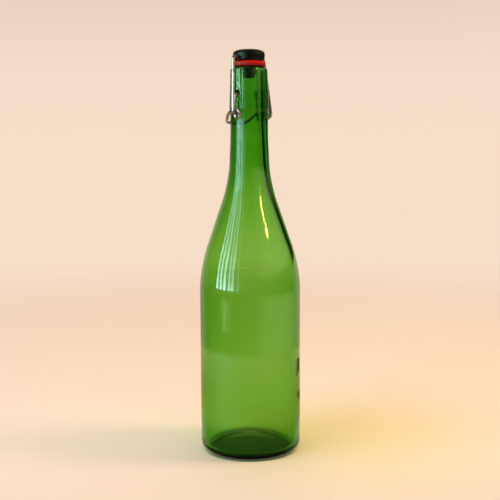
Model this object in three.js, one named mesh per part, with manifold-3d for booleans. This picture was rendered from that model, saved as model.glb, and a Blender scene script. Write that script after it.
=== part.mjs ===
// Swing top bottle, 750 ml.
// Millimetres, +Z up, origin at the centre of the foot.
// X is the pivot axis of the closure. The handle lies on the -Y side of the neck.

import * as THREE from 'three';
import { mergeVertices } from 'three/addons/utils/BufferGeometryUtils.js';
import Module from 'manifold-3d';

const wasm = await Module();
wasm.setup();

// ---- driving dimensions -------------------------------------------------------------

const BODY_R = 40.6;          // outside radius of the cylindrical body
const WALL = 3.5;             // glass thickness of the body
const HEEL_R = 6.4;           // rounding between body and foot
const FOOT_IN_R = 30.5;       // inner edge of the flat bearing ring
const PUNT_H = 2.2;           // height of the hollow under the base
const FLOOR_Z = 5.0;          // top of the glass floor in the middle
const SHOULDER_Z = 132.0;     // where the body starts to draw in
const LEDGE_Z = 274.5;        // underside of the finish
const MOUTH_Z = 306.8;        // sealing rim
const BORE_R = 8.2;           // bore through the finish

const WIRE_R = 1.2;           // both wires
const PIVOT_Z = 286.7;        // dimples that carry the lever
const DIMPLE_R = 2.6;
const DIMPLE_FLOOR_U = 12.2;  // distance of the dimple floor from the axis
const PIN_U = 12.7;           // tip of the lever pin
const ARM_U = 17.8;           // top of the lever arm
const EYE_IN_U = 18.8;        // inner strand of the lever's eye
const EYE_OUT_U = 21.6;       // outer strand of the eye
const EYE_Y = 3.4;            // centre of the eye
const EYE_Z = 270.9;
const EYE_R = 3.0;            // wire centre line of the eye
const RING_Y = 16.9;          // how far the handle reaches behind the axis
const RING_Z = 264.5;         // lowest point of the handle

const HINGE_Z = 271.1;        // bail ends, in the eyes
const BAIL_TIP_U = 16.8;
const BAIL_LOW_U = 25.0;      // bail legs beside the eyes
const BAIL_TOP_U = 19.8;      // bail legs beside the cap
const BAR_Z = 314.6;          // cross bar in the cap

const CAP_R = 12.6;
const CAP_LOW_Z = 312.5;
const CAP_TOP_Z = 321.5;
const CAP_HOLE_R = 1.55;
const STEM_R = 6.6;
const STEM_TIP_Z = 298.8;
const GASKET_R = 13.3;
const GASKET_IN_R = 6.95;
const GASKET_LOW_Z = 307.25;
const GASKET_TOP_Z = 312.15;

const BOTTLE_SEGMENTS = 56;
const CAP_SEGMENTS = 40;
const WIRE_SIDES = 8;

// ---- helpers ------------------------------------------------------------------------

const v3 = (x, y, z) => new THREE.Vector3(x, y, z);

function lathe(profile, segments) {
  const points = profile.map(([r, z]) => new THREE.Vector2(r, z));
  const geometry = new THREE.LatheGeometry(points, segments);
  geometry.rotateX(Math.PI / 2);
  return geometry;
}

function welded(geometry) {
  geometry.deleteAttribute('normal');
  geometry.deleteAttribute('uv');
  return mergeVertices(geometry, 1e-4);
}

function toSolid(geometry) {
  const clean = welded(geometry);
  const vertProperties = new Float32Array(clean.attributes.position.array);
  const triVerts = new Uint32Array(clean.index.array);
  return new wasm.Manifold(new wasm.Mesh({ numProp: 3, vertProperties, triVerts }));
}

function toGeometry(solid) {
  const mesh = solid.getMesh();
  const geometry = new THREE.BufferGeometry();
  geometry.setAttribute('position', new THREE.BufferAttribute(mesh.vertProperties, 3));
  geometry.setIndex(new THREE.BufferAttribute(mesh.triVerts, 1));
  return geometry;
}

// Radial plug along the X axis, used to cut dimples and the hole in the cap.
function plugAlongX(radius, from, to, z, roundEnd) {
  const profile = [
    [0, 0],
    [radius - roundEnd, 0],
    [radius, roundEnd],
    [radius, Math.abs(to - from)],
    [0, Math.abs(to - from)],
  ];
  const geometry = lathe(profile, 24);
  geometry.rotateY(to > from ? Math.PI / 2 : -Math.PI / 2);
  geometry.translate(from, 0, z);
  return toSolid(geometry);
}

// Points of a bent wire: straight runs joined by arcs of the given bend radius.
function bentWire(corners, bend) {
  const points = [corners[0]];
  for (let i = 1; i < corners.length - 1; i += 1) {
    const corner = corners[i];
    const back = corners[i - 1].clone().sub(corner).normalize();
    const ahead = corners[i + 1].clone().sub(corner).normalize();
    const half = back.angleTo(ahead) / 2;
    const reach = bend / Math.tan(half);
    const start = corner.clone().addScaledVector(back, reach);
    const end = corner.clone().addScaledVector(ahead, reach);
    const toCentre = back.clone().add(ahead).normalize();
    const centre = corner.clone().addScaledVector(toCentre, bend / Math.sin(half));
    const a = start.clone().sub(centre);
    const b = end.clone().sub(centre);
    const sweep = a.angleTo(b);
    for (let k = 0; k <= 4; k += 1) {
      const t = k / 4;
      const ka = Math.sin((1 - t) * sweep) / Math.sin(sweep);
      const kb = Math.sin(t * sweep) / Math.sin(sweep);
      points.push(centre.clone().addScaledVector(a, ka).addScaledVector(b, kb));
    }
  }
  points.push(corners[corners.length - 1]);
  return points;
}

function wire(points, steps) {
  const path = new THREE.CatmullRomCurve3(points, false, 'centripetal');
  path.arcLengthDivisions = 1200;
  const section = new THREE.Shape();
  for (let i = 0; i < WIRE_SIDES; i += 1) {
    const angle = (2 * Math.PI * i) / WIRE_SIDES;
    const x = WIRE_R * Math.cos(angle);
    const y = WIRE_R * Math.sin(angle);
    if (i === 0) section.moveTo(x, y);
    else section.lineTo(x, y);
  }
  section.closePath();
  const settings = { steps, extrudePath: path, bevelEnabled: false };
  return welded(new THREE.ExtrudeGeometry(section, settings));
}

const mirrored = (points) => points.map((p) => v3(-p.x, p.y, p.z)).reverse();

// ---- bottle -------------------------------------------------------------------------

function heel() {
  const points = [];
  const centreR = BODY_R - HEEL_R;
  for (let i = 0; i <= 4; i += 1) {
    const angle = (i / 4) * (Math.PI / 2);
    const r = centreR + HEEL_R * Math.sin(angle);
    points.push([r, HEEL_R - HEEL_R * Math.cos(angle)]);
  }
  return points;
}

function bottleProfile() {
  const punt = [
    [0, PUNT_H],
    [14, PUNT_H - 0.3],
    [24, PUNT_H - 1.1],
    [29.4, 0.25],
    [FOOT_IN_R, 0],
  ];
  const shoulder = [
    [BODY_R, SHOULDER_Z],
    [39.8, 142.2],
    [38.1, 152.5],
    [35.7, 162.5],
    [32.3, 172.4],
    [23.9, 196.8],
    [20.5, 206.5],
    [18.2, 216.0],
    [16.5, 225.5],
    [15.85, 232.5],
    [15.6, 241.5],
    [15.1, 249.5],
    [15.0, 259.0],
  ];
  const finish = [
    [15.0, LEDGE_Z - 1.0],
    [15.7, LEDGE_Z],
    [15.7, LEDGE_Z + 1.4],
    [14.7, MOUTH_Z - 3.2],
    [14.4, MOUTH_Z - 1.0],
    [13.2, MOUTH_Z],
    [BORE_R + 1.2, MOUTH_Z],
    [BORE_R, MOUTH_Z - 1.4],
  ];
  const inside = [
    [BORE_R, 272],
    [8.6, 266],
    [9.3, 257],
    [10.2, 244],
    [11.4, 231],
    [12.6, 224],
    [14.8, 215],
    [17.5, 206],
    [20.3, 196.5],
    [28.7, 171.5],
    [32.0, 161.6],
    [34.5, 151.8],
    [36.3, 141.8],
    [BODY_R - WALL, SHOULDER_Z - 1],
    [BODY_R - WALL, 9.0],
    [36.7, 6.4],
    [35.4, 4.6],
    [33.2, 3.7],
    [28.0, 3.5],
    [14.0, FLOOR_Z - 0.5],
    [0, FLOOR_Z],
  ];
  return [...punt, ...heel(), ...shoulder, ...finish, ...inside];
}

function buildBottle() {
  const glass = toSolid(lathe(bottleProfile(), BOTTLE_SEGMENTS));
  const right = plugAlongX(DIMPLE_R, DIMPLE_FLOOR_U, 20, PIVOT_Z, 0.6);
  const left = plugAlongX(DIMPLE_R, -DIMPLE_FLOOR_U, -20, PIVOT_Z, 0.6);
  return toGeometry(glass.subtract(right).subtract(left));
}

// ---- stopper and gasket -------------------------------------------------------------

function buildStopper() {
  const profile = [
    [0, STEM_TIP_Z],
    [3.6, STEM_TIP_Z],
    [4.7, STEM_TIP_Z + 0.9],
    [5.3, STEM_TIP_Z + 2.9],
    [STEM_R, STEM_TIP_Z + 5.3],
    [STEM_R, CAP_LOW_Z],
    [CAP_R - 0.6, CAP_LOW_Z],
    [CAP_R - 0.2, CAP_LOW_Z + 0.7],
    [CAP_R, CAP_LOW_Z + 3.0],
    [CAP_R, CAP_TOP_Z - 4.0],
    [CAP_R - 0.7, CAP_TOP_Z - 2.3],
    [CAP_R - 2.6, CAP_TOP_Z - 0.9],
    [CAP_R - 6.2, CAP_TOP_Z - 0.2],
    [0, CAP_TOP_Z],
  ];
  const cap = toSolid(lathe(profile, CAP_SEGMENTS));
  return toGeometry(cap.subtract(plugAlongX(CAP_HOLE_R, -16, 16, BAR_Z, 0)));
}

function buildGasket() {
  const height = GASKET_TOP_Z - GASKET_LOW_Z;
  const profile = [
    [GASKET_IN_R, GASKET_LOW_Z],
    [GASKET_R - 1.7, GASKET_LOW_Z],
    [GASKET_R - 0.5, GASKET_LOW_Z + 0.7],
    [GASKET_R, GASKET_LOW_Z + 2.0],
    [GASKET_R, GASKET_LOW_Z + height - 1.6],
    [GASKET_R - 0.5, GASKET_TOP_Z - 0.5],
    [GASKET_R - 1.6, GASKET_TOP_Z],
    [GASKET_IN_R, GASKET_TOP_Z],
    [GASKET_IN_R, GASKET_LOW_Z],
  ];
  return welded(lathe(profile, CAP_SEGMENTS));
}

// ---- lever --------------------------------------------------------------------------

// One side of the lever, from the pin in its dimple to the start of the handle.
function leverSide() {
  const low = v3(EYE_IN_U, EYE_Y - EYE_R - 0.1, 274);
  const bend = bentWire([v3(PIN_U, 0, PIVOT_Z), v3(ARM_U, 0, PIVOT_Z), low], 2.2);
  const eye = [];
  const turns = 11;
  for (let i = 0; i <= turns; i += 1) {
    const angle = Math.PI + (i / turns) * (Math.PI * 1.75);
    const shift = THREE.MathUtils.smoothstep(i / turns, 0.12, 0.88);
    const u = EYE_IN_U + shift * (EYE_OUT_U - EYE_IN_U);
    eye.push(v3(u, EYE_Y + EYE_R * Math.cos(angle), EYE_Z + EYE_R * Math.sin(angle)));
  }
  return [...bend, ...eye];
}

function buildLever() {
  const side = leverSide();
  const ring = [
    v3(20.8, -2.6, 272.4),
    v3(18.6, -6.6, 270.4),
    v3(15.0, -10.5, 267.6),
    v3(9.4, -14.7, 265.2),
  ];
  const apex = v3(0, -RING_Y, RING_Z);
  const points = [...side, ...ring, apex, ...mirrored(ring), ...mirrored(side)];
  return wire(points, 150);
}

// ---- bail ---------------------------------------------------------------------------

function buildBail() {
  // The legs lean inwards and towards the handle side on their way up to the cap.
  const corners = [
    v3(BAIL_TIP_U, EYE_Y, HINGE_Z),
    v3(BAIL_LOW_U, EYE_Y, HINGE_Z),
    v3(BAIL_TOP_U, 0, BAR_Z),
    v3(8, 0, BAR_Z),
  ];
  const side = bentWire(corners, 2.0);
  return wire([...side, ...mirrored(side)], 150);
}

// ---- assembly -----------------------------------------------------------------------

const group = new THREE.Group();
group.name = 'swing_top_bottle';

function add(name, geometry, settings) {
  geometry.computeVertexNormals();
  const mesh = new THREE.Mesh(geometry, new THREE.MeshStandardMaterial(settings));
  mesh.name = name;
  group.add(mesh);
}

add('bottle', buildBottle(), { color: 0x5f9a2c, roughness: 0.06 });
add('stopper', buildStopper(), { color: 0x14130f, roughness: 0.3 });
add('gasket', buildGasket(), { color: 0xb3120c, roughness: 0.5 });
add('lever', buildLever(), { color: 0xb9b6ae, roughness: 0.25, metalness: 1 });
add('bail', buildBail(), { color: 0xb9b6ae, roughness: 0.25, metalness: 1 });

export default group;
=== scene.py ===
import math
import random

import bmesh
import bpy
from mathutils import Euler, Matrix, Vector, noise


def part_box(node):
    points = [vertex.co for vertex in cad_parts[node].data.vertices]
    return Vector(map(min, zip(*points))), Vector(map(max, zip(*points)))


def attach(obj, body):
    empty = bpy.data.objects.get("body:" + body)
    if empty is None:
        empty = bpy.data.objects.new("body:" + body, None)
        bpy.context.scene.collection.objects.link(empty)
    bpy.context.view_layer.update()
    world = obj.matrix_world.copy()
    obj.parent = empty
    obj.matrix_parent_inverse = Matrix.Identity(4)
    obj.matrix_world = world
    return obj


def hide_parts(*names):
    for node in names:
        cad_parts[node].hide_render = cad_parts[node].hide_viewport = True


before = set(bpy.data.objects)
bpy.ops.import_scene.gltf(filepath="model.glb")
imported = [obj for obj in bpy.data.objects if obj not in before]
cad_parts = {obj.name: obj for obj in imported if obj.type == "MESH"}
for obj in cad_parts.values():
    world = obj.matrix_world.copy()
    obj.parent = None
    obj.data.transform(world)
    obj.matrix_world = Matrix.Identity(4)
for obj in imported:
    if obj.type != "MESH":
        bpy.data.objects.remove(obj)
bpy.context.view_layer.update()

# Swing top bottle. Its shapes are drawn in millimetres and turned into metres by MM. The camera,
# the lights and the stage are in metres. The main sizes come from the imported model's own boxes.

MM = 0.001

BOTTLE_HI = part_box("bottle")[1]
STOPPER_LO, STOPPER_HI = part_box("stopper")
GASKET_LO, GASKET_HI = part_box("gasket")
LEVER_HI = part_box("lever")[1]
BAIL_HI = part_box("bail")[1]

BODY_R = BOTTLE_HI.x / MM
MOUTH_Z = BOTTLE_HI.z / MM
BORE_R = 8.2
WALL = 3.5
HEEL_R = 6.4

# The wires. Names ending in _U are distances from the bottle's middle plane, along X.

WIRE_R = 1.2
PIVOT_Z = LEVER_HI.z / MM - WIRE_R
BAR_Z = BAIL_HI.z / MM - WIRE_R
BAR_HOLE_R = 1.55
DIMPLE_R = 2.6
DIMPLE_FLOOR_U = 12.2
PIN_U = 12.7
ARM_U = 17.8
EYE_IN_U = 18.8
EYE_OUT_U = 21.6
EYE_Y = 3.4
EYE_Z = 270.9
EYE_R = 3.0
RING_Y = 16.9
RING_Z = 264.5
HINGE_Z = 271.1
BAIL_TIP_U = 16.8
BAIL_LOW_U = 25.0
BAIL_TOP_U = 19.8


# ---- curves and profiles ------------------------------------------------------------------


def through(points, per_span):
    """A smooth centripetal Catmull-Rom line through the points."""
    pts = [Vector(p) for p in points]
    ends = [2 * pts[0] - pts[1], 2 * pts[-1] - pts[-2]]
    full = [ends[0], *pts, ends[1]]
    out = []
    for i in range(1, len(full) - 2):
        p = full[i - 1 : i + 3]
        t = [0.0]
        for a, b in zip(p, p[1:]):
            t.append(t[-1] + max((b - a).length, 1e-9) ** 0.5)
        for k in range(per_span):
            s = t[1] + (t[2] - t[1]) * k / per_span
            a = [p[j].lerp(p[j + 1], (s - t[j]) / (t[j + 1] - t[j])) for j in range(3)]
            b = [a[j].lerp(a[j + 1], (s - t[j]) / (t[j + 2] - t[j])) for j in range(2)]
            out.append(b[0].lerp(b[1], (s - t[1]) / (t[2] - t[1])))
    out.append(pts[-1])
    return [tuple(v) for v in out]


def relaxed(points, passes):
    """The same line with small ripples averaged out; its ends stay where they are."""
    pts = [Vector(p) for p in points]
    for _ in range(passes):
        middle = [(a + 2 * b + c) / 4 for a, b, c in zip(pts, pts[1:], pts[2:])]
        pts = [pts[0], *middle, pts[-1]]
    return [tuple(v) for v in pts]


def arc(centre, radius, start, stop, steps):
    """Profile points on an arc, angles in degrees from the +r direction."""
    out = []
    for i in range(steps + 1):
        a = math.radians(start + (stop - start) * i / steps)
        out.append((centre[0] + radius * math.cos(a), centre[1] + radius * math.sin(a)))
    return out


def line(start, stop, step):
    """Evenly spaced profile points from start to stop, both included."""
    length = math.dist(start, stop)
    count = max(1, round(length / step))
    return [
        (
            start[0] + (stop[0] - start[0]) * i / count,
            start[1] + (stop[1] - start[1]) * i / count,
        )
        for i in range(count + 1)
    ]


def joined(*parts):
    """Profile parts end to end, without repeated points."""
    out = []
    for part in parts:
        for p in part:
            if not out or math.dist(out[-1], p) > 1e-4:
                out.append(p)
    return out


def new_object(name, bm):
    """An object from bm, which is used up."""
    mesh = bpy.data.meshes.new(name)
    bm.to_mesh(mesh)
    bm.free()
    obj = bpy.data.objects.new(name, mesh)
    bpy.context.collection.objects.link(obj)
    return obj


def lathe(name, profile, angles, move=None):
    """A turned body. Profile points are (r, z) in millimetres, angles are in degrees.

    move(r, angle, z) may return a changed radius.
    """
    bm = bmesh.new()
    closed_ring = math.dist(profile[0], profile[-1]) < 1e-4
    points = profile[:-1] if closed_ring else profile
    rings = []
    for r, z in points:
        if r < 1e-6:
            rings.append([bm.verts.new((0, 0, z * MM))])
            continue
        ring = []
        for angle in angles:
            radius = move(r, angle, z) if move else r
            a = math.radians(angle)
            x, y = radius * math.cos(a) * MM, radius * math.sin(a) * MM
            ring.append(bm.verts.new((x, y, z * MM)))
        rings.append(ring)
    pairs = list(zip(rings, rings[1:]))
    if closed_ring:
        pairs.append((rings[-1], rings[0]))
    count = len(angles)
    for low, high in pairs:
        for i in range(count):
            j = (i + 1) % count
            if len(low) == 1:
                bm.faces.new((low[0], high[j], high[i]))
            elif len(high) == 1:
                bm.faces.new((low[i], low[j], high[0]))
            else:
                bm.faces.new((low[i], low[j], high[j], high[i]))
    bmesh.ops.recalc_face_normals(bm, faces=bm.faces)
    return new_object(name, bm)


def smooth_shaded(obj, angle=35):
    """Smooth shading with edges sharper than the angle kept crisp."""
    bm = bmesh.new()
    bm.from_mesh(obj.data)
    limit = math.radians(angle)
    for face in bm.faces:
        face.smooth = True
    for edge in bm.edges:
        edge.smooth = len(edge.link_faces) == 2 and edge.calc_face_angle(0) < limit
    bm.to_mesh(obj.data)
    bm.free()
    return obj


def even_angles(count):
    """Angles in degrees for one full turn."""
    return [360 * i / count for i in range(count)]


# ---- bottle -------------------------------------------------------------------------------


def bottle_angles():
    """One degree steps around the two dimples, 2.5 degree steps elsewhere."""
    out = []
    for start in (0, 180):
        out += [start - 15 + i for i in range(30)]
        out += [start + 15 + 2.5 * i for i in range(60)]
    return out


RELAXING = 10


def bottle_profile():
    """The outline of the glass, from the axis under the base and back to the axis inside.

    It runs up the outside, over the lip and down the inside.
    """
    foot_r = BODY_R - HEEL_R
    punt = through([(0, 2.2), (14, 1.9), (24, 1.1), (29.4, 0.25)], 5)
    bearing = [(30.1, 0.06), (30.5, 0.0), (31.6, 0.0), (33.2, 0.0)]
    heel = arc((foot_r, HEEL_R), HEEL_R, -90, 0, 12)
    body = line((BODY_R, HEEL_R + 3), (BODY_R, 124), 6)
    shoulder_points = through(
        [
            (BODY_R, 126.5),
            (BODY_R, 129),
            (40.56, 132),
            (40.44, 135),
            (40.19, 138.5),
            (39.82, 142.2),
            (39.14, 147),
            (38.11, 152.5),
            (36.97, 157.5),
            (35.67, 162.5),
            (32.3, 172.4),
            (23.9, 196.8),
            (20.5, 206.5),
            (18.2, 216.0),
            (16.5, 225.5),
            (15.85, 232.5),
            (15.6, 241.5),
            (15.1, 249.5),
            (15.0, 259.0),
            (15.0, 272.6),
        ],
        6,
    )
    shoulder = relaxed(shoulder_points, RELAXING)
    ledge = [
        (15.05, 273.2),
        (15.25, 273.75),
        (15.55, 274.2),
        (15.68, 274.6),
        (15.7, 275.2),
        (15.66, 276.2),
    ]
    top_r = 14.7
    finish = joined(
        line((15.6, 278), (15.42, PIVOT_Z - 4.2), 1.0),
        line((15.42, PIVOT_Z - 4.0), (15.15, PIVOT_Z + 4.0), 0.27),
        line((15.12, PIVOT_Z + 4.6), (top_r, MOUTH_Z - 3.2), 1.2),
    )
    lip = joined(
        [(top_r - 0.05, MOUTH_Z - 2.4)],
        arc((top_r - 1.75, MOUTH_Z - 1.7), 1.7, 15, 90, 8),
        [(12.0, MOUTH_Z), (10.9, MOUTH_Z)],
        arc((BORE_R + 1.5, MOUTH_Z - 1.5), 1.5, 90, 180, 7),
    )
    bore = line((BORE_R, MOUTH_Z - 3), (BORE_R, 274), 2.5)
    inside_points = through(
        [
            (BORE_R, 272),
            (8.5, 266),
            (9.0, 257),
            (9.6, 244),
            (10.7, 231),
            (11.8, 224),
            (13.9, 215),
            (16.7, 206),
            (20.1, 196.5),
            (29.55, 171.5),
            (33.0, 161.6),
            (34.3, 156.7),
            (35.41, 151.8),
            (36.27, 146.5),
            (36.76, 141.8),
            (36.94, 138.5),
            (37.06, 135),
            (37.09, 132),
            (37.1, 129),
            (37.1, 126.5),
        ],
        5,
    )
    inside = relaxed(inside_points, RELAXING)
    straight = line((BODY_R - WALL, 126), (BODY_R - WALL, 12), 6)
    floor = through(
        [(BODY_R - WALL, 9.0), (36.7, 6.4), (35.4, 4.6), (33.2, 3.7), (28, 3.5), (14, 4.5), (0, 5)],
        5,
    )
    floor[-1] = (0, 5)
    return joined(
        punt, bearing, heel, body, shoulder, ledge, finish, lip, bore, inside, straight, floor
    )


def smoothstep(low, high, x):
    """0 below low, 1 above high and a soft step between."""
    t = min(max((x - low) / (high - low), 0), 1)
    return t * t * (3 - 2 * t)


def blown_glass(r, angle, z):
    """Presses the two dimples into the finish and lets the inner wall wander a little."""
    on_finish = 14.0 < r < 15.9 and abs(z - PIVOT_Z) < 4.5
    if on_finish:
        off = (angle + 90) % 180 - 90
        across = math.radians(off) * r
        d = math.hypot(across, z - PIVOT_Z)
        depth = r - DIMPLE_FLOOR_U
        return r - depth * (1 - smoothstep(DIMPLE_R - 0.85, DIMPLE_R + 0.45, d))
    a = math.radians(angle)
    on_inner_wall = r < BODY_R - WALL + 0.01 and 16 < z < 250 and r < inner_limit(z)
    if on_inner_wall:
        spot = Vector((math.cos(a) * 1.3, math.sin(a) * 1.3, z / 38))
        return r - 0.28 * (noise.noise(spot) + 0.35) - 0.1
    return r


def inner_limit(z):
    """A radius between the outer and the inner surface at a height."""
    if z < 130:
        return BODY_R - WALL / 2
    marks = [(130, 38.7), (151, 36.8), (162, 34.4), (172, 31.0), (197, 22.5)]
    marks += [(206, 19.2), (216, 16.6), (225, 14.9), (240, 13.7), (250, 13.0)]
    for (z0, r0), (z1, r1) in zip(marks, marks[1:]):
        if z <= z1:
            return r0 + (r1 - r0) * (z - z0) / (z1 - z0)
    return 13.0


def make_bottle():
    obj = lathe("glass_bottle", bottle_profile(), bottle_angles(), blown_glass)
    return smooth_shaded(obj, 50)


# ---- stopper and gasket -------------------------------------------------------------------


def cut(obj, cutter):
    """Takes cutter out of obj and removes it."""
    mod = obj.modifiers.new("cut", "BOOLEAN")
    mod.operation = "DIFFERENCE"
    mod.solver = "EXACT"
    mod.object = cutter
    depsgraph = bpy.context.evaluated_depsgraph_get()
    mesh = bpy.data.meshes.new_from_object(obj.evaluated_get(depsgraph))
    obj.modifiers.clear()
    old = obj.data
    obj.data = mesh
    bpy.data.meshes.remove(old)
    bpy.data.objects.remove(cutter)


def make_stopper():
    """Cap and stem in one, with the hole for the bail's cross bar."""
    low, top = STOPPER_LO.z / MM, STOPPER_HI.z / MM
    cap_low = GASKET_HI.z / MM + 0.35
    cap_r = STOPPER_HI.x / MM
    stem_r = 6.6
    profile = joined(
        [(0, low + 0.5), (1.2, low + 0.45), (1.6, low + 0.05), (3.2, low)],
        through(
            [
                (3.6, low + 0.08),
                (4.6, low + 0.8),
                (5.3, low + 2.9),
                (6.0, low + 4.3),
                (stem_r, low + 5.4),
            ],
            5,
        ),
        line((stem_r, low + 6), (stem_r, cap_low), 1.5),
        [(stem_r + 0.3, cap_low), (9, cap_low), (cap_r - 1.2, cap_low)],
        arc((cap_r - 1.0, cap_low + 0.8), 0.8, -90, 0, 6),
        [(cap_r - 0.14, cap_low + 1.3), (cap_r, cap_low + 2.6), (cap_r, top - 4.1)],
        through(
            [
                (cap_r, top - 4.0),
                (cap_r - 0.25, top - 2.9),
                (cap_r - 1.1, top - 1.8),
                (cap_r - 2.9, top - 0.9),
                (cap_r - 6.2, top - 0.25),
                (3.0, top - 0.02),
                (1.5, top),
            ],
            5,
        ),
        [(1.25, top - 0.05), (1.1, top - 0.3), (0, top - 0.35)],
    )
    obj = lathe("stopper_cap", profile, even_angles(112))
    hole = lathe("hole", [(0, -20), (BAR_HOLE_R, -20), (BAR_HOLE_R, 20), (0, 20)], even_angles(40))
    hole.data.transform(Matrix.Rotation(math.pi / 2, 4, "Y"))
    hole.data.transform(Matrix.Translation((0, 0, BAR_Z * MM)))
    cut(obj, hole)
    return smooth_shaded(obj, 35)


def make_gasket():
    """A soft ring, widest around its middle."""
    low, high = GASKET_LO.z / MM, GASKET_HI.z / MM
    outer = GASKET_HI.x / MM
    inner = 6.95
    section = joined(
        [(inner, low + 0.3), (inner + 0.3, low), (outer - 2.4, low)],
        through(
            [
                (outer - 1.9, low + 0.02),
                (outer - 0.75, low + 0.5),
                (outer - 0.1, low + 1.6),
                (outer - 0.02, low + 2.35),
            ],
            5,
        ),
        [(outer, low + 2.5), (outer - 0.02, low + 2.65)],
        through(
            [
                (outer - 0.1, high - 1.5),
                (outer - 0.6, high - 0.55),
                (outer - 1.7, high - 0.02),
            ],
            5,
        ),
        [(outer - 2.4, high), (inner + 0.3, high), (inner, high - 0.3), (inner, low + 0.3)],
    )
    section.append(section[0])
    obj = lathe("gasket_ring", section, even_angles(120))
    return smooth_shaded(obj, 50)


# ---- wires --------------------------------------------------------------------------------


def bent_wire(corners, bend):
    """Straight runs joined by arcs of the given bend radius."""
    pts = [Vector(c) for c in corners]
    out = [pts[0]]
    for before, corner, after in zip(pts, pts[1:], pts[2:]):
        back = (before - corner).normalized()
        ahead = (after - corner).normalized()
        half = back.angle(ahead) / 2
        start = corner + back * (bend / math.tan(half))
        end = corner + ahead * (bend / math.tan(half))
        centre = corner + (back + ahead).normalized() * (bend / math.sin(half))
        a, b = start - centre, end - centre
        sweep = a.angle(b)
        for k in range(5):
            ka = math.sin((1 - k / 4) * sweep) / math.sin(sweep)
            kb = math.sin(k / 4 * sweep) / math.sin(sweep)
            out.append(centre + a * ka + b * kb)
    out.append(pts[-1])
    return out


def mirrored(points):
    """The same points on the other side of the middle plane, in reverse order."""
    return [Vector((-p[0], p[1], p[2])) for p in reversed(points)]


def wire(name, points):
    """Round wire along a smooth path, with filed ends."""
    path = [Vector(p) for p in through([tuple(p) for p in points], 9)]
    curve = bpy.data.curves.new(name, "CURVE")
    curve.dimensions = "3D"
    curve.bevel_depth = WIRE_R * MM
    curve.bevel_resolution = 5
    curve.use_fill_caps = True
    first = (path[1] - path[0]).normalized()
    last = (path[-2] - path[-1]).normalized()
    ends = (0.0, 0.08, 0.2, 0.4)
    radii = (0.72, 0.86, 0.96, 1.0)
    head = [(path[0] + first * d, r) for d, r in zip(ends, radii)]
    tail = [(path[-1] + last * d, r) for d, r in zip(ends, radii)]
    near = [p for p in path if min((p - path[0]).length, (p - path[-1]).length) > 0.5]
    rows = [*head, *[(p, 1.0) for p in near], *reversed(tail)]
    spline = curve.splines.new("POLY")
    spline.points.add(len(rows) - 1)
    for point, (p, r) in zip(spline.points, rows):
        point.co = (*(p * MM), 1)
        point.radius = r
    tube = bpy.data.objects.new(name + "_path", curve)
    bpy.context.collection.objects.link(tube)
    depsgraph = bpy.context.evaluated_depsgraph_get()
    mesh = bpy.data.meshes.new_from_object(tube.evaluated_get(depsgraph))
    bpy.data.objects.remove(tube)
    bpy.data.curves.remove(curve)
    mesh.name = name
    obj = bpy.data.objects.new(name, mesh)
    bpy.context.collection.objects.link(obj)
    bm = bmesh.new()
    bm.from_mesh(mesh)
    bmesh.ops.remove_doubles(bm, verts=bm.verts, dist=1e-6)
    bmesh.ops.recalc_face_normals(bm, faces=bm.faces)
    bm.to_mesh(mesh)
    bm.free()
    return smooth_shaded(obj, 40)


def make_lever():
    """Pin, arm and eye on each side, and the handle round the back of the neck."""
    low = (EYE_IN_U, EYE_Y - EYE_R - 0.1, 274)
    bend = bent_wire([(PIN_U, 0, PIVOT_Z), (ARM_U, 0, PIVOT_Z), low], 2.2)
    eye = []
    turns = 11
    for i in range(turns + 1):
        t = i / turns
        angle = math.pi * (1 + 1.75 * t)
        u = EYE_IN_U + (EYE_OUT_U - EYE_IN_U) * smoothstep(0.12, 0.88, t)
        eye.append((u, EYE_Y + EYE_R * math.cos(angle), EYE_Z + EYE_R * math.sin(angle)))
    side = [*bend, *eye]
    ring = [
        (20.8, -2.6, RING_Z + 7.9),
        (18.6, -6.6, RING_Z + 5.9),
        (15.0, -10.5, RING_Z + 3.1),
        (9.4, -14.7, RING_Z + 0.7),
    ]
    apex = (0, -RING_Y, RING_Z)
    return wire("lever_wire", [*side, *ring, apex, *mirrored(ring), *mirrored(side)])


def make_bail():
    """Cross bar, two legs and the ends that pass through the lever's eyes."""
    corners = [
        (BAIL_TIP_U, EYE_Y, HINGE_Z),
        (BAIL_LOW_U, EYE_Y, HINGE_Z),
        (BAIL_TOP_U, 0, BAR_Z),
        (8, 0, BAR_Z),
    ]
    side = bent_wire(corners, 2.0)
    return wire("bail_wire", [*side, *mirrored(side)])


# ---- where the camera stands --------------------------------------------------------------

# Angles are in degrees, places in metres, lens and sensor in millimetres.

CAMERA_AZIMUTH = 126.9
CAMERA_DISTANCE = 0.7044
CAMERA_HEIGHT = 0.2489
CAMERA_PITCH = 6.97
CAMERA_ROLL = -0.3
CAMERA_YAW = 0.012
CAMERA_LENS = 63.35
SENSOR_WIDTH = 36


def around(azimuth, distance, height):
    """A place at an azimuth seen from above: 0 is at -Y, 90 at +X."""
    a = math.radians(azimuth)
    return Vector((math.sin(a) * distance, -math.cos(a) * distance, height))


# ---- materials ----------------------------------------------------------------------------

# The stage's surface. Lengths are in metres. A range says where a change starts and ends.

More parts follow.
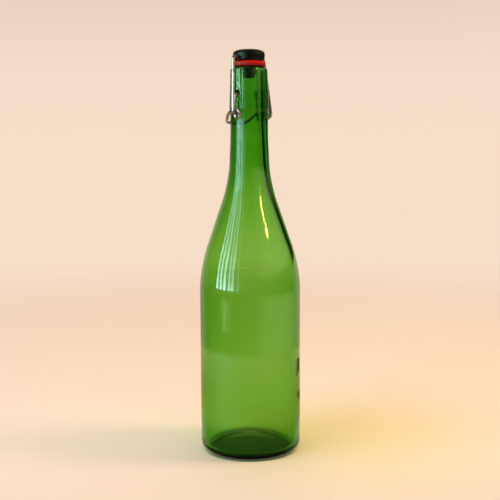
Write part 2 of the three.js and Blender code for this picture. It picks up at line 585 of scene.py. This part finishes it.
FLOOR_PALE = ((0.82, 0.65, 0.52), (0.86, 0.69, 0.56))
FLOOR_SHADE = (0.75, 0.595, 0.465)
SHADE_RANGE = (0.02, 0.16)
# A painted pool of warm light on the floor beside the bottle, where light through the glass would
# fall.
FLOOR_GLOW = (0.84, 0.66, 0.36)
GLOW_AZIMUTH = CAMERA_AZIMUTH + 104
GLOW_DISTANCE = 0.085
GLOW_RANGE = (0.03, 0.15)
GLOW_SHARE = 0.85
# A painted shadow: the floor under the bottle is dark green in an oval shifted toward the camera,
# seen through the glass base.
UNDER_PAINTED_SHADOW = (0.010, 0.050, 0.008)
UNDER_SHADOW_SHIFT = 0.009
UNDER_SHADOW_STRETCH = 1.2
UNDER_SHADOW_RANGE = (0.0325, 0.0375)
FLOOR_MIRRORED = ((0.52, 0.36, 0.15), (0.84, 0.68, 0.38))
MIRRORED_RANGE = (0.20, 0.34)
RING_INNER_RANGE = (0.095, 0.120)
RING_INNER_CLEAR = 0.95
RING_OUTER_RANGE = (0.37, 0.40)
FADE_RANGE = (0.26, 1.25)

# A ray that has crossed more glass surfaces than this went through the whole bottle.
WALL_CROSSINGS = 2.5


class Nodes:
    """A small helper for building the node tree of a material or a world."""

    def __init__(self, owner, output="OutputMaterial"):
        owner.use_nodes = True
        self.owner = owner
        self.tree = owner.node_tree
        self.tree.nodes.clear()
        self.out = self.add(output)

    def add(self, kind, settings=None, **inputs):
        node = self.tree.nodes.new("ShaderNode" + kind)
        for key, value in (settings or {}).items():
            setattr(node, key, value)
        for key, value in inputs.items():
            self.set(node, key.replace("_", " "), value)
        return node

    def set(self, node, name, value):
        socket = node.inputs[name]
        if isinstance(value, bpy.types.NodeSocket):
            self.tree.links.new(value, socket)
        else:
            socket.default_value = value

    def noise(self, where, scale, detail=3.0, rough=0.5):
        node = self.add("TexNoise", Scale=scale, Detail=detail, Roughness=rough)
        self.set(node, "Vector", where)
        return node.outputs["Fac"]

    def ramp(self, value, low, high, out_low=0, out_high=1):
        node = self.add("MapRange")
        self.set(node, "Value", value)
        for key, number in zip(
            ("From Min", "From Max", "To Min", "To Max"), (low, high, out_low, out_high)
        ):
            node.inputs[key].default_value = number
        return node.outputs["Result"]

    def colour_ramp(self, value, stops):
        node = self.add("ValToRGB")
        self.set(node, 0, value)
        elements = node.color_ramp.elements
        while len(elements) < len(stops):
            elements.new(0.5)
        for element, (place, colour) in zip(elements, stops):
            element.position = place
            element.color = (*colour, 1)
        return node.outputs[0]

    def mix(self, factor, a, b):
        node = self.add("Mix", {"data_type": "RGBA"})
        self.set(node, 0, factor)
        for index, colour in ((6, a), (7, b)):
            socket = isinstance(colour, bpy.types.NodeSocket)
            self.set(node, index, colour if socket else (*colour, 1))
        return node.outputs[2]

    def blend(self, factor, first, second):
        """Mixes two shaders and makes the result the surface."""
        node = self.add("MixShader")
        self.set(node, 0, factor)
        self.set(node, 1, first.outputs[0])
        self.set(node, 2, second.outputs[0])
        self.set(self.out, "Surface", node.outputs[0])

    def math(self, operation, a, b=0.0):
        """One sum, kept between 0 and 1."""
        node = self.add("Math", {"operation": operation, "use_clamp": True})
        self.set(node, 0, a)
        self.set(node, 1, b)
        return node.outputs[0]

    def vector(self, operation, a, b=(0, 0, 0)):
        """A difference is a vector. A length, a distance or a dot product is a number."""
        node = self.add("VectorMath", {"operation": operation})
        self.set(node, 0, a)
        self.set(node, 1, b)
        return node.outputs["Vector" if operation == "SUBTRACT" else "Value"]

    def bump(self, height, strength, distance, under=None):
        node = self.add("Bump", Strength=strength, Distance=distance)
        self.set(node, "Height", height)
        if under is not None:
            self.set(node, "Normal", under)
        return node.outputs["Normal"]

    def coords(self, stretch=(1, 1, 1)):
        source = self.add("TexCoord").outputs["Object"]
        node = self.add("Mapping")
        self.set(node, "Vector", source)
        node.inputs["Scale"].default_value = stretch
        return node.outputs["Vector"]


def new_material(name):
    """The node helper of a new material. The material itself is its owner."""
    return Nodes(bpy.data.materials.new(name))


def glass_material():
    """Green glass: clear at the surface, its colour comes from how much glass a ray crosses."""
    n = new_material("bottle_glass")
    ribs = n.noise(n.coords((1, 1, 0.012)), 900, 2, 0.5)
    waves = n.noise(n.coords((1, 1, 0.18)), 60, 1.5, 0.4)
    dust = n.noise(n.coords((1, 1, 0.6)), 420, 4, 0.6)
    shader = n.add("BsdfPrincipled", IOR=1.52)
    n.set(shader, "Base Color", (0.99, 1.0, 0.98, 1))
    n.set(shader, "Transmission Weight", 1.0)
    n.set(shader, "Roughness", n.ramp(dust, 0.5, 0.8, 0.0, 0.006))
    soft = n.bump(waves, 0.05, 0.002)
    n.set(shader, "Normal", n.bump(ribs, 0.05, 0.0002, under=soft))
    clear = n.add("BsdfTransparent", Color=(0.93, 0.97, 0.9, 1))
    lamp_ray = n.add("LightPath").outputs["Is Shadow Ray"]
    n.blend(lamp_ray, shader, clear)
    tint = n.add("VolumeAbsorption", Color=(0.465, 0.80, 0.085, 1), Density=460.0)
    n.set(n.out, "Volume", tint.outputs[0])
    return n.owner


def plastic_material():
    """Black moulded plastic with a faint blotchy shine."""
    n = new_material("black_plastic")
    where = n.coords()
    fine = n.noise(where, 2600, 3, 0.6)
    blotch = n.noise(where, 260, 4, 0.55)
    shader = n.add("BsdfPrincipled", IOR=1.5)
    n.set(shader, "Specular IOR Level", 0.22)
    n.set(shader, "Base Color", n.mix(blotch, (0.0015, 0.0015, 0.0013), (0.005, 0.0045, 0.004)))
    n.set(shader, "Roughness", n.ramp(blotch, 0.3, 0.7, 0.2, 0.36))
    n.set(shader, "Normal", n.bump(fine, 0.25, 0.00004))
    n.set(n.out, "Surface", shader.outputs[0])
    return n.owner


def rubber_material():
    """Red rubber, with painted shade that darkens it towards the ring's underside."""
    n = new_material("red_rubber")
    where = n.coords()
    grain = n.noise(where, 1900, 4, 0.65)
    wear = n.noise(where, 330, 3, 0.5)
    shader = n.add("BsdfPrincipled", IOR=1.48)
    n.set(shader, "Specular IOR Level", 0.25)
    split = n.add("SeparateXYZ")
    n.set(split, 0, where)
    # Painted shade: the red turns near black over the lowest 2.8 mm of the ring.
    height = n.ramp(split.outputs["Z"], GASKET_LO.z, GASKET_LO.z + 2.8 * MM)
    red = n.mix(wear, (0.38, 0.001, 0.0006), (0.54, 0.004, 0.002))
    n.set(shader, "Base Color", n.mix(height, (0.06, 0.0008, 0.0006), red))
    n.set(shader, "Roughness", n.ramp(wear, 0.3, 0.7, 0.34, 0.5))
    n.set(shader, "Normal", n.bump(grain, 0.35, 0.00006))
    n.set(n.out, "Surface", shader.outputs[0])
    return n.owner


def wire_material():
    """Drawn steel wire with dull stains."""
    n = new_material("steel_wire")
    where = n.coords()
    drawn = n.noise(n.coords((9, 9, 1)), 500, 3, 0.6)
    stain = n.noise(where, 190, 5, 0.6)
    shader = n.add("BsdfPrincipled", Metallic=1.0)
    steel = n.mix(n.ramp(stain, 0.42, 0.68), (0.53, 0.46, 0.45), (0.15, 0.13, 0.125))
    n.set(shader, "Base Color", steel)
    n.set(shader, "Roughness", n.ramp(stain, 0.35, 0.7, 0.14, 0.34))
    n.set(shader, "Normal", n.bump(drawn, 0.2, 0.00004))
    n.set(n.out, "Surface", shader.outputs[0])
    return n.owner


def floor_material():
    """Pale matt surface that fades into the backdrop far from the object.

    It has a dark green painted shadow under the bottle, painted shade in front of it and a warm
    painted pool of light where light comes through the glass. Rays mirrored in the glass see its
    mirrored colours, and only a ring of it.
    """
    n = new_material("pale_surface")
    where = n.add("TexCoord").outputs["Object"]
    grain = n.noise(where, 9, 5, 0.6)
    shader = n.add("BsdfPrincipled", Roughness=0.62)
    far = n.vector("LENGTH", where)
    pale = n.mix(grain, *FLOOR_PALE)

    # Painted shade: the floor is darker in front of the bottle, toward the camera.
    front = n.vector("DOT_PRODUCT", where, around(CAMERA_AZIMUTH, 1, 0))
    pale = n.mix(n.ramp(front, *SHADE_RANGE), pale, FLOOR_SHADE)

    # Painted light: a warm pool on the floor beside the bottle.
    glow = n.vector("DISTANCE", where, around(GLOW_AZIMUTH, GLOW_DISTANCE, 0))
    pale = n.mix(n.ramp(glow, *GLOW_RANGE, GLOW_SHARE, 0), pale, FLOOR_GLOW)

    rays = n.add("LightPath").outputs
    mirror = n.math("SUBTRACT", rays["Is Glossy Ray"], rays["Is Transmission Ray"])
    mirrored = n.mix(n.ramp(far, *MIRRORED_RANGE), *FLOOR_MIRRORED)
    pale = n.mix(mirror, pale, mirrored)

    # Painted shadow: a dark green oval under the bottle, shifted toward the camera.
    shift = n.vector("SUBTRACT", where, around(CAMERA_AZIMUTH, UNDER_SHADOW_SHIFT, 0))
    oval = n.add("CombineXYZ")
    n.set(oval, "X", n.vector("DOT_PRODUCT", shift, around(CAMERA_AZIMUTH, UNDER_SHADOW_STRETCH, 0)))
    n.set(oval, "Y", n.vector("DOT_PRODUCT", shift, around(CAMERA_AZIMUTH + 90, 1, 0)))
    beyond_painted_shadow = n.ramp(n.vector("LENGTH", oval.outputs["Vector"]), *UNDER_SHADOW_RANGE)
    n.set(shader, "Base Color", n.mix(beyond_painted_shadow, UNDER_PAINTED_SHADOW, pale))

    fade = n.ramp(far, *FADE_RANGE)
    fade.node.interpolation_type = "SMOOTHSTEP"
    edge = n.ramp(far, *RING_OUTER_RANGE)
    close = n.ramp(far, *RING_INNER_RANGE, RING_INNER_CLEAR, 0)
    unseen = n.math("MAXIMUM", edge, close)
    fade = n.math("MAXIMUM", fade, n.math("MULTIPLY", mirror, unseen))
    n.blend(fade, shader, n.add("BsdfTransparent"))
    return n.owner


def flag_material():
    """Dark for rays that only cross the wall, clear for rays through the whole bottle."""
    n = new_material("dark_panel")
    cloth = n.noise(n.coords(), 30, 3, 0.5)
    shader = n.add("BsdfDiffuse")
    n.set(shader, "Color", n.mix(cloth, (0.010, 0.010, 0.008), (0.03, 0.028, 0.022)))
    crossings = n.add("LightPath").outputs["Transmission Depth"]
    whole_bottle = n.math("GREATER_THAN", crossings, WALL_CROSSINGS)
    n.blend(whole_bottle, shader, n.add("BsdfTransparent"))
    return n.owner


def dressed(obj, material, body, slot, *replaced):
    """Gives a piece its material, its body and the CAD nodes it stands for. The slot argument is
    not used.
    """
    obj.data.materials.clear()
    obj.data.materials.append(material)
    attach(obj, body)
    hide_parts(*replaced)


# ---- surroundings -------------------------------------------------------------------------

# The room. Ranges are cosines of the angle to a direction, or heights on the unit sphere.

BACK_STOPS = ((0.0, (0.93, 0.73, 0.585)), (0.07, (0.91, 0.72, 0.58)), (0.16, (0.82, 0.64, 0.51)))
ROOM_DIFFUSE = (0.50, 0.43, 0.34)
ROOM_GLOSSY = (0.05, 0.045, 0.04)
INNER_MIRRORED = (0.26, 0.22, 0.15)
BACK_MIRRORED = (0.80, 0.64, 0.48)
BACK_RANGE = (0.35, 0.92)
VEIL_GLOSSY = (1.15, 1.15, 0.62)
VEIL_SIDE = 72
VEIL_RANGE = (0.45, 0.97)
VEIL_SLOPE_RANGE = (0.10, 0.18)
VEIL_FLOOR_RANGE = (-0.31, -0.28)

# The window. Angles are degrees to the camera's left. A level is its lower and upper height
# and its share of the radiance. The low part is a row of an angle and a radiance each.

WINDOW_LEFT, WINDOW_RIGHT, WINDOW_STEP = 79, 10, 5.2
WINDOW_DISTANCE = 1.05
WINDOW_RADIANCE = 12.5
WINDOW_FOLDS = (1.2, 0.2)
WINDOW_LEVELS = ((0.075, 0.12, 1.8), (0.12, 0.20, 1.35), (0.20, 0.60, 1.0), (0.60, 1.25, 0.62))
WINDOW_COLOUR = (0.44, 0.80, 0.72)
LOW_WINDOW = ((43, 1.6), (49, 3.0), (56, 4.2), (62, 2.4))
LOW_WINDOW_COLOUR = (0.60, 0.95, 0.55)

# Soft lights: name, degrees to the camera's right, distance, height, the height they aim at,
# size, power and colour.

SOFT_LIGHTS = (
    ("window_soft", -58, 1.05, 0.64, 0.3, (0.95, 1.2), 13, (0.42, 0.64, 1.0)),
    ("overhead", 0, 0.0, 1.9, 0.0, (2.2, 2.2), 20, (1.0, 0.84, 0.61)),
    ("warm_side", 88, 0.8, 1.0, 0.1, (0.30, 0.30), 6, (1.0, 0.82, 0.58)),
)

# Lamps that give the yellow glints: name, degrees to the camera's right, height, length, power.

LAMPS = (
    ("lamp_top", 52.3, 0.79, 0.09, 1.5),
    ("lamp_high", 56.0, 0.695, 0.030, 0.85),
    ("lamp_low", 51.0, 0.565, 0.02, 0.4),
)
LAMP_DISTANCE = 1.0
LAMP_WIDTH = 0.018
LAMP_COLOUR = (1.0, 0.80, 0.12)


def make_floor():
    """The stage's surface. It casts no shadow of its own."""
    bm = bmesh.new()
    bmesh.ops.create_grid(bm, x_segments=24, y_segments=24, size=3.2)
    obj = new_object("table_surface", bm)
    obj.data.materials.append(floor_material())
    obj.visible_shadow = False


def make_world():
    """A pale room to look at, with a dimmer one for reflections and for diffuse light."""
    world = bpy.data.worlds.new("soft_room")
    n = Nodes(world, "OutputWorld")
    path = n.add("LightPath").outputs
    direction = n.add("TexCoord").outputs["Generated"]
    split = n.add("SeparateXYZ")
    n.set(split, 0, direction)
    up = split.outputs["Z"]

    whole_bottle = n.math("GREATER_THAN", path["Transmission Depth"], WALL_CROSSINGS)
    inner = n.math("MULTIPLY", path["Glossy Depth"], whole_bottle)
    pale = n.mix(inner, n.colour_ramp(up, BACK_STOPS), INNER_MIRRORED)
    lit = n.mix(path["Is Diffuse Ray"], pale, ROOM_DIFFUSE)

    sideways = n.vector("DOT_PRODUCT", direction, around(CAMERA_AZIMUTH + VEIL_SIDE, 1, 0))
    slope = n.ramp(n.math("ABSOLUTE", up), *VEIL_SLOPE_RANGE)
    height = n.math("MULTIPLY", n.ramp(up, *VEIL_FLOOR_RANGE), slope)
    veil = n.math("MULTIPLY", n.ramp(sideways, *VEIL_RANGE), height)
    room = n.mix(veil, ROOM_GLOSSY, VEIL_GLOSSY)
    facing = n.vector("DOT_PRODUCT", direction, -around(CAMERA_AZIMUTH, 1, 0))
    mirrored = n.mix(n.ramp(facing, *BACK_RANGE), room, BACK_MIRRORED)

    mirror = n.math("SUBTRACT", path["Is Glossy Ray"], path["Is Transmission Ray"])
    back = n.add("Background")
    n.set(back, "Color", n.mix(mirror, lit, mirrored))
    n.set(n.out, "Surface", back.outputs[0])
    bpy.context.scene.world = world


def area_light(name, place, target, size, power, colour, glossy=False, diffuse=True):
    """A rectangular light out of the camera's sight. A glossy one shows in reflections."""
    data = bpy.data.lights.new(name, "AREA")
    data.shape = "RECTANGLE"
    data.size, data.size_y = size
    data.energy = power
    data.color = colour
    obj = bpy.data.objects.new(name, data)
    bpy.context.collection.objects.link(obj)
    obj.location = place
    direction = Vector(target) - Vector(place)
    obj.rotation_euler = direction.to_track_quat("-Z", "Y").to_euler()
    obj.visible_camera = False
    obj.visible_transmission = False
    obj.visible_glossy = glossy
    obj.visible_diffuse = diffuse
    return obj


def make_camera():
    """The photograph's viewing angle, with the same slight roll."""
    data = bpy.data.cameras.new("camera")
    data.sensor_width = SENSOR_WIDTH
    data.lens = CAMERA_LENS
    obj = bpy.data.objects.new("camera", data)
    bpy.context.collection.objects.link(obj)
    place = around(CAMERA_AZIMUTH, CAMERA_DISTANCE, CAMERA_HEIGHT)
    obj.location = place
    turn = math.radians(CAMERA_AZIMUTH - CAMERA_YAW)
    tilt = math.radians(90 - CAMERA_PITCH)
    base = Euler((tilt, 0, turn), "XYZ").to_matrix()
    roll = Matrix.Rotation(math.radians(CAMERA_ROLL), 3, "Z")
    obj.rotation_euler = (base @ roll).to_euler()
    bpy.context.scene.camera = obj


def strip(name, angle, width, distance, low, high, radiance, colour):
    """One upright strip of the window, angle degrees to the camera's left."""
    height = high - low
    place = around(CAMERA_AZIMUTH - angle, distance, (low + high) / 2)
    power = radiance * math.pi * width * height
    aim = (0, 0, place.z)
    area_light(name, place, aim, (width, height), power, colour, glossy=True, diffuse=False)


def make_window():
    """Tall strips, bright and dark by turns like a curtain, fading out towards the camera."""
    rng = random.Random(4)
    angle = WINDOW_LEFT
    count = 0
    while angle > WINDOW_RIGHT:
        step = WINDOW_STEP * (0.75 + 0.5 * rng.random())
        width = WINDOW_DISTANCE * math.radians(step)
        fold = WINDOW_FOLDS[count % 2]
        fading = smoothstep(WINDOW_RIGHT - 8, 62, angle) ** 2.2
        radiance = WINDOW_RADIANCE * fading * fold * (0.75 + 0.5 * rng.random())
        for low, high, share in WINDOW_LEVELS:
            name = f"window_{count}_{int(low * 100)}"
            bright = radiance * share
            strip(name, angle, width, WINDOW_DISTANCE, low, high, bright, WINDOW_COLOUR)
        angle -= step
        count += 1


def make_flag(name, start, end, low, high, distance):
    """A dark curved panel behind the bottle, only seen through its wall and in reflections.

    start and end are degrees from straight behind the bottle, negative to the camera's right.
    """
    bm = bmesh.new()
    columns = []
    for i in range(9):
        angle = CAMERA_AZIMUTH + 180 + start + (end - start) * i / 8
        foot = around(angle, distance, low)
        columns.append((bm.verts.new(foot), bm.verts.new(foot + Vector((0, 0, high - low)))))
    for (a, b), (c, d) in zip(columns, columns[1:]):
        bm.faces.new((a, c, d, b))
    obj = new_object(name, bm)
    obj.data.materials.append(flag_material())
    obj.visible_camera = False
    obj.visible_shadow = False
    obj.visible_diffuse = False


def pieces_lit(name, *pieces):
    """A collection of the only pieces that a light shines on."""
    group = bpy.data.collections.new(name)
    for piece in pieces:
        group.objects.link(bpy.data.objects[piece])
    return group


def make_lights():
    """The window, the soft lights, the lamps for the glass and a fill for the wires."""
    make_window()
    for i, (angle, radiance) in enumerate(LOW_WINDOW):
        strip(f"low_{i}", angle, 0.022, 0.5, 0.003, 0.052, radiance, LOW_WINDOW_COLOUR)
    for name, angle, distance, height, aim, size, power, colour in SOFT_LIGHTS:
        place = around(CAMERA_AZIMUTH + angle, distance, height)
        area_light(name, place, (0, 0, aim), size, power, colour)
    glass = pieces_lit("lamps_shown_on", "glass_bottle")
    for name, angle, height, tall, power in LAMPS:
        place = around(CAMERA_AZIMUTH + angle, LAMP_DISTANCE, height)
        size = (LAMP_WIDTH, tall)
        lamp = area_light(
            name, place, (0, 0, 0.18), size, power, LAMP_COLOUR, glossy=True, diffuse=False
        )
        lamp.light_linking.receiver_collection = glass
    place = around(CAMERA_AZIMUTH - 22, 0.9, 0.46)
    size = (0.62, 0.80)
    colour = (1.0, 0.97, 0.93)
    fill = area_light(
        "wire_fill", place, (0, 0, 0.28), size, 4.6, colour, glossy=True, diffuse=False
    )
    wires = pieces_lit("wire_fill_shown_on", "lever_wire", "bail_wire")
    fill.light_linking.receiver_collection = wires


# ---- assembly -----------------------------------------------------------------------------

steel = wire_material()
dressed(make_bottle(), glass_material(), "bottle", "green_glass", "bottle")
dressed(make_stopper(), plastic_material(), "stopper", "black_plastic", "stopper")
dressed(make_gasket(), rubber_material(), "stopper", "red_rubber", "gasket")
dressed(make_lever(), steel, "lever", "steel_wire", "lever")
dressed(make_bail(), steel, "bail", "steel_wire", "bail")

make_floor()
make_flag("flag_right", -57, -23, 0.17, 0.9, 1.5)
make_flag("flag_low_far", -48, -31, 0.002, 0.018, 0.25)
make_flag("flag_low_near", -48, -31, 0.001, 0.009, 0.15)
make_world()
make_lights()
make_camera()
bpy.context.scene.view_settings.view_transform = "Standard"
